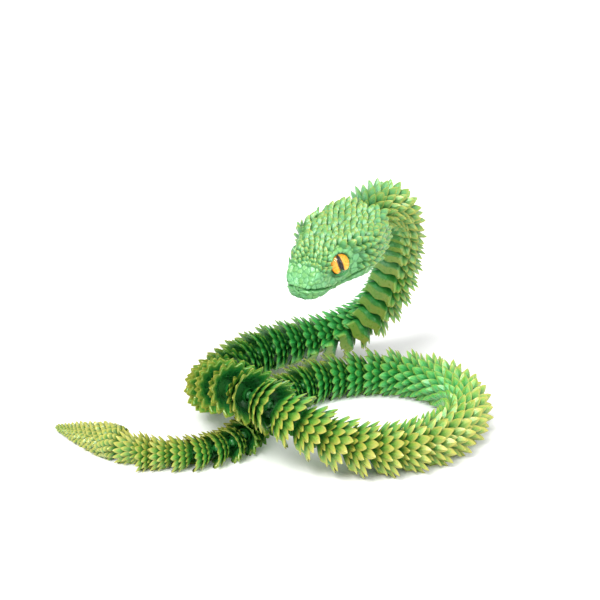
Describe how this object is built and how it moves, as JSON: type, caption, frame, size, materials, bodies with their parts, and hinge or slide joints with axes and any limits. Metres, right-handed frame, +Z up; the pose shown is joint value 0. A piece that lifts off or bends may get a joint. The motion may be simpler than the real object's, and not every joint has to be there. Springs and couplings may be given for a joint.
{
  "type": "articulated toy snake",
  "caption": "Articulated toy snake: scaled viper head with glass eyes, flared scale rings ball-jointed in a chain, tapering tail, posed in a flat coil with the neck reared.",
  "frame": {"origin": "on the table, under the middle of the bounding box", "axes": "+Z up, +X to the snake's coiled right side, away from the tail tip, -Y the side the head looks towards"},
  "size_m": [0.2023, 0.1414, 0.1],
  "materials": {
    "silk_plastic": "two-colour silk filament, green with gold on the scale tips, fine layer lines",
    "eye_glass": "clear glass cabochon over a printed orange iris with a slit pupil"
  },
  "bodies": {
    "head": {"head": "silk_plastic", "left_eye": "eye_glass", "right_eye": "eye_glass"},
    "ring_01": {"ring_01": "silk_plastic"},
    "ring_02": {"ring_02": "silk_plastic"},
    "ring_03": {"ring_03": "silk_plastic"},
    "ring_04": {"ring_04": "silk_plastic"},
    "ring_05": {"ring_05": "silk_plastic"},
    "ring_06": {"ring_06": "silk_plastic"},
    "ring_07": {"ring_07": "silk_plastic"},
    "ring_08": {"ring_08": "silk_plastic"},
    "ring_09": {"ring_09": "silk_plastic"},
    "ring_10": {"ring_10": "silk_plastic"},
    "ring_11": {"ring_11": "silk_plastic"},
    "ring_12": {"ring_12": "silk_plastic"},
    "ring_13": {"ring_13": "silk_plastic"},
    "ring_14": {"ring_14": "silk_plastic"},
    "ring_15": {"ring_15": "silk_plastic"},
    "ring_16": {"ring_16": "silk_plastic"},
    "ring_17": {"ring_17": "silk_plastic"},
    "ring_18": {"ring_18": "silk_plastic"},
    "ring_19": {"ring_19": "silk_plastic"},
    "ring_20": {"ring_20": "silk_plastic"},
    "ring_21": {"ring_21": "silk_plastic"},
    "ring_22": {"ring_22": "silk_plastic"},
    "ring_23": {"ring_23": "silk_plastic"},
    "ring_24": {"ring_24": "silk_plastic"},
    "ring_25": {"ring_25": "silk_plastic"},
    "ring_26": {"ring_26": "silk_plastic"},
    "ring_27": {"ring_27": "silk_plastic"},
    "ring_28": {"ring_28": "silk_plastic"},
    "ring_29": {"ring_29": "silk_plastic"},
    "ring_30": {"ring_30": "silk_plastic"},
    "ring_31": {"ring_31": "silk_plastic"},
    "ring_32": {"ring_32": "silk_plastic"},
    "ring_33": {"ring_33": "silk_plastic"},
    "ring_34": {"ring_34": "silk_plastic"},
    "ring_35": {"ring_35": "silk_plastic"},
    "ring_36": {"ring_36": "silk_plastic"},
    "ring_37": {"ring_37": "silk_plastic"},
    "ring_38": {"ring_38": "silk_plastic"},
    "ring_39": {"ring_39": "silk_plastic"},
    "ring_40": {"ring_40": "silk_plastic"},
    "ring_41": {"ring_41": "silk_plastic"},
    "ring_42": {"ring_42": "silk_plastic"},
    "ring_43": {"ring_43": "silk_plastic"},
    "ring_44": {"ring_44": "silk_plastic"},
    "ring_45": {"ring_45": "silk_plastic"},
    "ring_46": {"ring_46": "silk_plastic"},
    "ring_47": {"ring_47": "silk_plastic"},
    "ring_48": {"ring_48": "silk_plastic"},
    "ring_49": {"ring_49": "silk_plastic"},
    "tail_ring_pair_1": {"tail_ring_pair_1": "silk_plastic"},
    "tail_ring_pair_2": {"tail_ring_pair_2": "silk_plastic"},
    "tail_ring_pair_3": {"tail_ring_pair_3": "silk_plastic"},
    "tail_ring_pair_4": {"tail_ring_pair_4": "silk_plastic"},
    "tail_ring_pair_5": {"tail_ring_pair_5": "silk_plastic"},
    "tail_ring_pair_6": {"tail_ring_pair_6": "silk_plastic"},
    "tail_ring_pair_7": {"tail_ring_pair_7": "silk_plastic"},
    "tail_tip": {"tail_tip": "silk_plastic"}
  },
  "joints": [
    {"name": "ring_01_nod", "type": "hinge", "parent": "ring_01", "child": "head", "pos_m": [0.0402, 0.0299, 0.08399], "axis": [-0.7951, 0.6062, -0.0189], "range_deg": [-18, 18]},
    {"name": "ring_02_nod", "type": "hinge", "parent": "ring_02", "child": "ring_01", "pos_m": [0.04403, 0.03501, 0.08665], "axis": [0.7999, -0.6001, 0.0017], "range_deg": [-18, 1.2]},
    {"name": "ring_03_nod", "type": "hinge", "parent": "ring_03", "child": "ring_02", "pos_m": [0.04817, 0.04052, 0.08719], "axis": [0.7968, -0.6039, -0.019], "range_deg": [-18, 1.2]},
    {"name": "ring_04_nod", "type": "hinge", "parent": "ring_04", "child": "ring_03", "pos_m": [0.0522, 0.04589, 0.08556], "axis": [-0.8043, 0.5942, -0.0046], "range_deg": [-0.6, 18]},
    {"name": "ring_05_nod", "type": "hinge", "parent": "ring_05", "child": "ring_04", "pos_m": [0.05569, 0.05059, 0.08171], "axis": [-0.8099, 0.5864, -0.011], "range_deg": [-1.2, 18]},
    {"name": "ring_06_nod", "type": "hinge", "parent": "ring_06", "child": "ring_05", "pos_m": [0.05826, 0.05403, 0.07631], "axis": [-0.7994, 0.6007, -0.0014], "range_deg": [-2.3, 18]},
    {"name": "ring_07_nod", "type": "hinge", "parent": "ring_07", "child": "ring_06", "pos_m": [0.0598, 0.05607, 0.06988], "axis": [0.779, -0.6267, -0.0207], "range_deg": [-18, 5.3]},
    {"name": "ring_08_nod", "type": "hinge", "parent": "ring_08", "child": "ring_07", "pos_m": [0.0603, 0.05693, 0.0629], "axis": [-0.7555, 0.6511, 0.0724], "range_deg": [-11, 18]},
    {"name": "ring_09_nod", "type": "hinge", "parent": "ring_09", "child": "ring_08", "pos_m": [0.05996, 0.05735, 0.05551], "axis": [-0.7477, 0.6488, 0.1411], "range_deg": [-13, 18]},
    {"name": "ring_10_nod", "type": "hinge", "parent": "ring_10", "child": "ring_09", "pos_m": [0.0587, 0.05756, 0.04784], "axis": [-0.7371, 0.6359, 0.2288], "range_deg": [-15, 18]},
    {"name": "ring_11_nod", "type": "hinge", "parent": "ring_11", "child": "ring_10", "pos_m": [0.05638, 0.05763, 0.04019], "axis": [0.7867, -0.4945, -0.3694], "range_deg": [-18, 15]},
    {"name": "ring_12_nod", "type": "hinge", "parent": "ring_12", "child": "ring_11", "pos_m": [0.05285, 0.05755, 0.03278], "axis": [-0.7791, 0.2282, 0.5839], "range_deg": [-13, 18]},
    {"name": "ring_13_swing", "type": "hinge", "parent": "ring_13", "child": "ring_12", "pos_m": [0.0478, 0.05721, 0.02618], "axis": [-0.1349, 0.9901, 0.0399], "range_deg": [-6.3, 6.3]},
    {"name": "ring_14_swing", "type": "hinge", "parent": "ring_14", "child": "ring_13", "pos_m": [0.04102, 0.05649, 0.02114], "axis": [0.2721, -0.9205, -0.2804], "range_deg": [-6.3, 6.3]},
    {"name": "ring_15_swing", "type": "hinge", "parent": "ring_15", "child": "ring_14", "pos_m": [0.03335, 0.05531, 0.01755], "axis": [0.3117, -0.7992, -0.5139], "range_deg": [-6.3, 6.3]},
    {"name": "ring_16_swing", "type": "hinge", "parent": "ring_16", "child": "ring_15", "pos_m": [0.02507, 0.05354, 0.01529], "axis": [-0.2874, 0.646, 0.7072], "range_deg": [-6.3, 6.3]},
    {"name": "ring_17_swing", "type": "hinge", "parent": "ring_17", "child": "ring_16", "pos_m": [0.01639, 0.05081, 0.01426], "axis": [0.2577, -0.4999, -0.8269], "range_deg": [-6.3, 6.3]},
    {"name": "ring_18_swing", "type": "hinge", "parent": "ring_18", "child": "ring_17", "pos_m": [0.0077, 0.04721, 0.01373], "axis": [0.2143, -0.3512, -0.9115], "range_deg": [-6.3, 6.3]},
    {"name": "ring_19_swing", "type": "hinge", "parent": "ring_19", "child": "ring_18", "pos_m": [-0.00076, 0.04272, 0.01346], "axis": [-0.1859, 0.1618, 0.9692], "range_deg": [-6.3, 6.3]},
    {"name": "ring_20_swing", "type": "hinge", "parent": "ring_20", "child": "ring_19", "pos_m": [-0.00852, 0.03694, 0.01294], "axis": [-0.1235, 0.0438, 0.9914], "range_deg": [-6.3, 6.3]},
    {"name": "ring_21_swing", "type": "hinge", "parent": "ring_21", "child": "ring_20", "pos_m": [-0.01537, 0.02989, 0.0124], "axis": [0.0509, -0.0013, -0.9987], "range_deg": [-6.3, 6.3]},
    {"name": "ring_22_swing", "type": "hinge", "parent": "ring_22", "child": "ring_21", "pos_m": [-0.02079, 0.02171, 0.01213], "axis": [-0.0138, -0.0534, -0.9985], "range_deg": [-6.3, 6.3]},
    {"name": "ring_23_swing", "type": "hinge", "parent": "ring_23", "child": "ring_22", "pos_m": [-0.02486, 0.01241, 0.01269], "axis": [0.038, 0.1517, 0.9877], "range_deg": [-6.3, 6.3]},
    {"name": "ring_24_swing", "type": "hinge", "parent": "ring_24", "child": "ring_23", "pos_m": [-0.02723, 0.00265, 0.01428], "axis": [0.0227, 0.2969, 0.9546], "range_deg": [-6.3, 6.3]},
    {"name": "ring_25_swing", "type": "hinge", "parent": "ring_25", "child": "ring_24", "pos_m": [-0.02798, -0.00727, 0.01738], "axis": [-0.0437, 0.3956, 0.9174], "range_deg": [-6.3, 6.3]},
    {"name": "ring_26_swing", "type": "hinge", "parent": "ring_26", "child": "ring_25", "pos_m": [-0.02695, -0.01664, 0.02147], "axis": [-0.1407, 0.4054, 0.9032], "range_deg": [-6.3, 6.3]},
    {"name": "ring_27_swing", "type": "hinge", "parent": "ring_27", "child": "ring_26", "pos_m": [-0.02382, -0.02566, 0.02601], "axis": [-0.1704, 0.2874, 0.9425], "range_deg": [-6.3, 6.3]},
    {"name": "ring_28_swing", "type": "hinge", "parent": "ring_28", "child": "ring_27", "pos_m": [-0.01861, -0.03444, 0.02963], "axis": [-0.0939, 0.1013, 0.9904], "range_deg": [-6.3, 6.3]},
    {"name": "ring_29_swing", "type": "hinge", "parent": "ring_29", "child": "ring_28", "pos_m": [-0.01122, -0.04242, 0.03114], "axis": [-0.1172, 0.0793, -0.9899], "range_deg": [-6.3, 6.3]},
    {"name": "ring_30_swing", "type": "hinge", "parent": "ring_30", "child": "ring_29", "pos_m": [-0.0021, -0.04859, 0.02957], "axis": [-0.3494, 0.1421, -0.9261], "range_deg": [-6.3, 4.3]},
    {"name": "ring_31_swing", "type": "hinge", "parent": "ring_31", "child": "ring_30", "pos_m": [0.00753, -0.05251, 0.02534], "axis": [-0.4241, 0.1137, -0.8985], "range_deg": [-6.3, 4.3]},
    {"name": "ring_32_swing", "type": "hinge", "parent": "ring_32", "child": "ring_31", "pos_m": [0.01724, -0.05511, 0.02042], "axis": [-0.3999, 0.0594, -0.9146], "range_deg": [-6.3, 3.3]},
    {"name": "ring_33_swing", "type": "hinge", "parent": "ring_33", "child": "ring_32", "pos_m": [0.02754, -0.05665, 0.01582], "axis": [0.2804, -0.0066, 0.9599], "range_deg": [-3.3, 6.3]},
    {"name": "ring_34_swing", "type": "hinge", "parent": "ring_34", "child": "ring_33", "pos_m": [0.0383, -0.0569, 0.01267], "axis": [0.1385, 0.0174, 0.9902], "range_deg": [-4.3, 6.3]},
    {"name": "ring_35_swing", "type": "hinge", "parent": "ring_35", "child": "ring_34", "pos_m": [0.04933, -0.05552, 0.01111], "axis": [0.0486, 0.0158, 0.9987], "range_deg": [-6.3, 6.3]},
    {"name": "ring_36_swing", "type": "hinge", "parent": "ring_36", "child": "ring_35", "pos_m": [0.06001, -0.05206, 0.01053], "axis": [0, 0, 1], "range_deg": [-5.3, 6.3]},
    {"name": "ring_37_swing", "type": "hinge", "parent": "ring_36", "child": "ring_37", "pos_m": [0.06956, -0.04668, 0.0103], "axis": [0, 0, -1], "range_deg": [-6.3, 6.3]},
    {"name": "ring_38_swing", "type": "hinge", "parent": "ring_37", "child": "ring_38", "pos_m": [0.07747, -0.03971, 0.01014], "axis": [0, 0, -1], "range_deg": [-6.3, 6.3]},
    {"name": "ring_39_swing", "type": "hinge", "parent": "ring_38", "child": "ring_39", "pos_m": [0.08319, -0.0312, 0.01009], "axis": [0, 0, -1], "range_deg": [-6.3, 5.3]},
    {"name": "ring_40_swing", "type": "hinge", "parent": "ring_39", "child": "ring_40", "pos_m": [0.08666, -0.02186, 0.01002], "axis": [0, 0, 1], "range_deg": [-5.3, 6.3]},
    {"name": "ring_41_swing", "type": "hinge", "parent": "ring_40", "child": "ring_41", "pos_m": [0.08784, -0.01216, 0.00992], "axis": [0, 0, -1], "range_deg": [-6.3, 2.3]},
    {"name": "ring_42_swing", "type": "hinge", "parent": "ring_41", "child": "ring_42", "pos_m": [0.08634, -0.00263, 0.00986], "axis": [0, 0, -1], "range_deg": [-6.3, 2.3]},
    {"name": "ring_43_swing", "type": "hinge", "parent": "ring_42", "child": "ring_43", "pos_m": [0.08232, 0.0061, 0.0098], "axis": [0, 0, 1], "range_deg": [-2.3, 6.3]},
    {"name": "ring_44_swing", "type": "hinge", "parent": "ring_43", "child": "ring_44", "pos_m": [0.07581, 0.01339, 0.00969], "axis": [0, 0, 1], "range_deg": [-2.3, 6.3]},
    {"name": "ring_45_swing", "type": "hinge", "parent": "ring_44", "child": "ring_45", "pos_m": [0.06766, 0.01855, 0.00959], "axis": [0, 0, 1], "range_deg": [-2.3, 6.3]},
    {"name": "ring_46_swing", "type": "hinge", "parent": "ring_45", "child": "ring_46", "pos_m": [0.05839, 0.0217, 0.00949], "axis": [0, 0, 1], "range_deg": [-2.3, 6.3]},
    {"name": "ring_47_swing", "type": "hinge", "parent": "ring_46", "child": "ring_47", "pos_m": [0.04882, 0.02273, 0.0094], "axis": [0, 0, 1], "range_deg": [-3.3, 6.3]},
    {"name": "ring_48_swing", "type": "hinge", "parent": "ring_47", "child": "ring_48", "pos_m": [0.03899, 0.02203, 0.00924], "axis": [0, 0, 1], "range_deg": [-3.3, 6.3]},
    {"name": "ring_49_swing", "type": "hinge", "parent": "ring_48", "child": "ring_49", "pos_m": [0.02959, 0.01971, 0.00902], "axis": [0, 0, -1], "range_deg": [-6.3, 3.3]},
    {"name": "tail_ring_pair_1_swing", "type": "hinge", "parent": "ring_49", "child": "tail_ring_pair_1", "pos_m": [0.02079, 0.01593, 0.00879], "axis": [0, 0, -1], "range_deg": [-6.3, 4.3]},
    {"name": "tail_ring_pair_2_swing", "type": "hinge", "parent": "tail_ring_pair_1", "child": "tail_ring_pair_2", "pos_m": [0.00615, 0.00453, 0.00816], "axis": [0, 0, -1], "range_deg": [-6.3, 5.3]},
    {"name": "tail_ring_pair_3_swing", "type": "hinge", "parent": "tail_ring_pair_2", "child": "tail_ring_pair_3", "pos_m": [-0.00392, -0.01047, 0.00759], "axis": [0, 0, -1], "range_deg": [-6.3, 6.3]},
    {"name": "tail_ring_pair_4_swing", "type": "hinge", "parent": "tail_ring_pair_3", "child": "tail_ring_pair_4", "pos_m": [-0.00952, -0.02711, 0.00717], "axis": [0, 0, -1], "range_deg": [-6.3, 6.3]},
    {"name": "tail_ring_pair_5_swing", "type": "hinge", "parent": "tail_ring_pair_4", "child": "tail_ring_pair_5", "pos_m": [-0.01843, -0.04152, 0.00695], "axis": [0, 0, 1], "range_deg": [-6.3, 6.3]},
    {"name": "tail_ring_pair_6_swing", "type": "hinge", "parent": "tail_ring_pair_5", "child": "tail_ring_pair_6", "pos_m": [-0.03268, -0.04998, 0.00665], "axis": [0, 0, 1], "range_deg": [-6.3, 6.3]},
    {"name": "tail_ring_pair_7_swing", "type": "hinge", "parent": "tail_ring_pair_6", "child": "tail_ring_pair_7", "pos_m": [-0.04878, -0.05096, 0.00617], "axis": [0, 0, -1], "range_deg": [-6.3, 6.3]},
    {"name": "tail_tip_swing", "type": "hinge", "parent": "tail_ring_pair_7", "child": "tail_tip", "pos_m": [-0.06315, -0.04649, 0.00571], "axis": [0, 0, -1], "range_deg": [-6.3, 5.3]}
  ]
}
